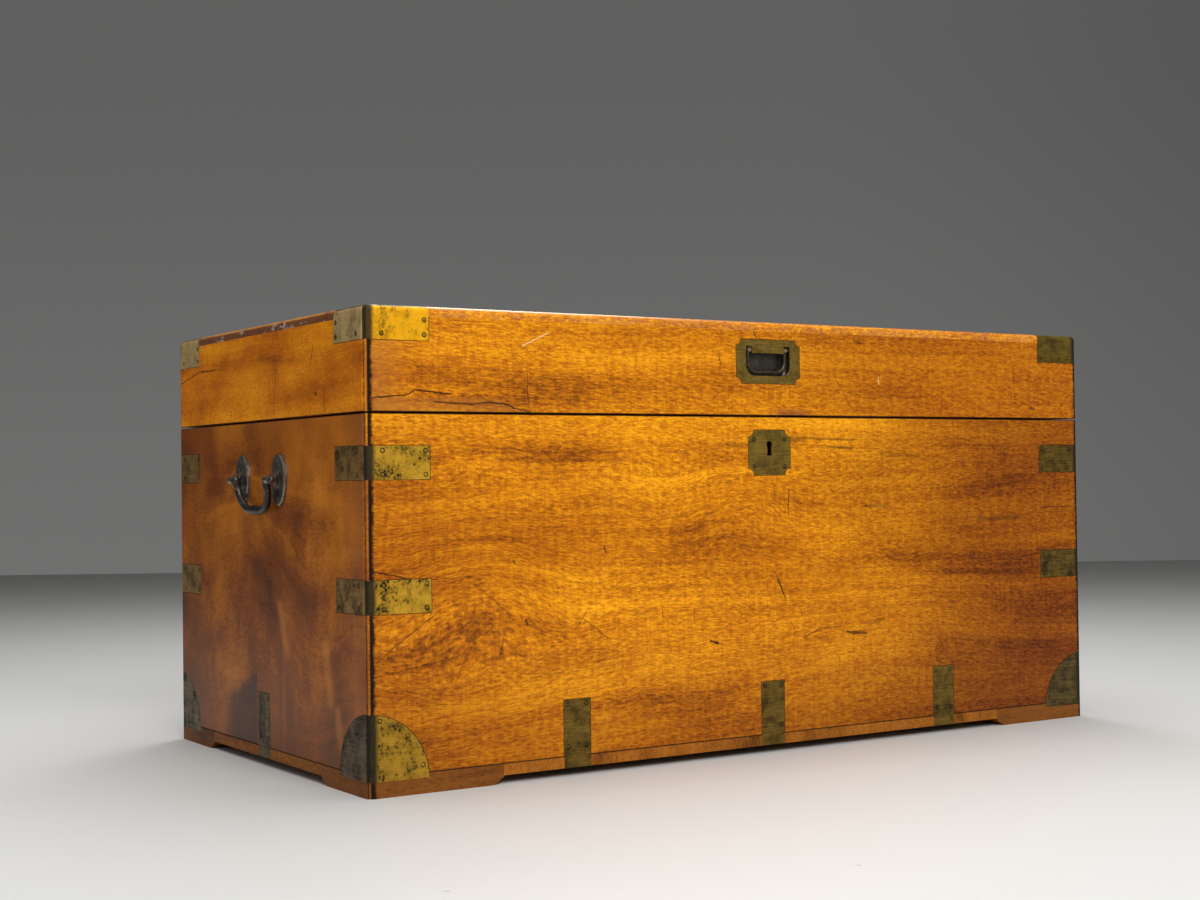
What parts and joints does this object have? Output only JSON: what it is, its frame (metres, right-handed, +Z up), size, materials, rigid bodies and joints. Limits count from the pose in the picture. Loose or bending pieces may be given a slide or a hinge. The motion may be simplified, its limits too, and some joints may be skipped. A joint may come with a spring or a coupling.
{
  "type": "brass bound camphor wood trunk",
  "caption": "Brass-bound wooden storage trunk with a hinged lid, sunk lid handle, drop handles on its ends and a key lock.",
  "frame": {"origin": "on the floor, under the middle of the trunk's bounding box", "axes": "+X to the trunk's right as it is seen from the front, +Y to the back, +Z up; the front faces -Y"},
  "size_m": [1.0532, 0.5446, 0.4926],
  "materials": {
    "body_wood": "worn polish over figured camphor wood",
    "lid_wood": "worn polish over figured camphor wood",
    "base_wood": "darkened polish, end grain in front",
    "foot_wood": "darkened worn polish",
    "inlaid_brass": "aged, pitted and patinated",
    "handle_bronze": "dark patina, worn bright on edges",
    "hinge_brass": "aged satin",
    "lock_brass": "aged satin",
    "iron": "dull"
  },
  "bodies": {
    "case": {"front_board": "body_wood", "back_board": "body_wood", "left_board": "body_wood", "right_board": "body_wood", "base_board_left": "base_wood", "base_board_middle": "base_wood", "base_board_right": "base_wood", "foot_front_left": "foot_wood", "foot_front_right": "foot_wood", "foot_back_left": "foot_wood", "foot_back_right": "foot_wood", "upper_corner_straps": "inlaid_brass", "middle_corner_straps": "inlaid_brass", "lower_corner_plate_front_left": "inlaid_brass", "lower_corner_plate_front_right": "inlaid_brass", "lower_corner_plate_back_left": "inlaid_brass", "lower_corner_plate_back_right": "inlaid_brass", "base_straps": "inlaid_brass", "end_base_straps": "inlaid_brass", "body_brass_nails": "inlaid_brass", "escutcheon": "inlaid_brass", "escutcheon_pins": "inlaid_brass", "lock_case": "lock_brass", "lock_plate": "lock_brass", "lock_bolt_spring": "iron", "lock_key_pin": "lock_brass", "lock_ward": "lock_brass", "body_screws": "iron", "base_nails": "iron", "foot_screws": "iron", "left_hinge_body_leaf": "hinge_brass", "right_hinge_body_leaf": "hinge_brass", "hinge_pins": "iron", "end_handle_screws": "handle_bronze", "left_handle_front_plate": "handle_bronze", "left_handle_back_plate": "handle_bronze", "right_handle_front_plate": "handle_bronze", "right_handle_back_plate": "handle_bronze"},
    "lid": {"lid_front_board": "lid_wood", "lid_back_board": "lid_wood", "lid_left_board": "lid_wood", "lid_right_board": "lid_wood", "lid_top_board": "lid_wood", "lid_corner_front_left": "inlaid_brass", "lid_corner_front_right": "inlaid_brass", "lid_corner_back_left": "inlaid_brass", "lid_corner_back_right": "inlaid_brass", "lid_brass_nails": "inlaid_brass", "lid_handle_plate": "inlaid_brass", "lid_handle_cup": "inlaid_brass", "lid_handle_pivots": "inlaid_brass", "lid_handle_screws": "inlaid_brass", "left_hinge_lid_leaf": "hinge_brass", "right_hinge_lid_leaf": "hinge_brass", "link_plate": "lock_brass", "lid_screws": "iron"},
    "lock_bolt": {"lock_bolt": "lock_brass"},
    "lid_handle_bail": {"lid_handle_bail": "inlaid_brass"},
    "left_handle_bail": {"left_handle_bail": "handle_bronze"},
    "right_handle_bail": {"right_handle_bail": "handle_bronze"}
  },
  "joints": [
    {"name": "lid_hinge", "type": "hinge", "parent": "case", "child": "lid", "pos_m": [0, 0.2678, 0.384], "axis": [-1, 0, 0], "range_deg": [0, 100]},
    {"name": "lid_handle_swing", "type": "hinge", "parent": "lid", "child": "lid_handle_bail", "pos_m": [0, -0.2681, 0.4602], "axis": [-1, 0, 0], "range_deg": [0, 90]},
    {"name": "left_handle_swing", "type": "hinge", "parent": "case", "child": "left_handle_bail", "pos_m": [-0.522, -0.0042, 0.3183], "axis": [0, 1, 0], "range_deg": [-3, 205]},
    {"name": "right_handle_swing", "type": "hinge", "parent": "case", "child": "right_handle_bail", "pos_m": [0.522, -0.0042, 0.3183], "axis": [0, -1, 0], "range_deg": [-3, 205]},
    {"name": "lock_bolt_slide", "type": "slide", "parent": "case", "child": "lock_bolt", "axis": [1, 0, 0], "range_m": [0, 0.008]}
  ]
}
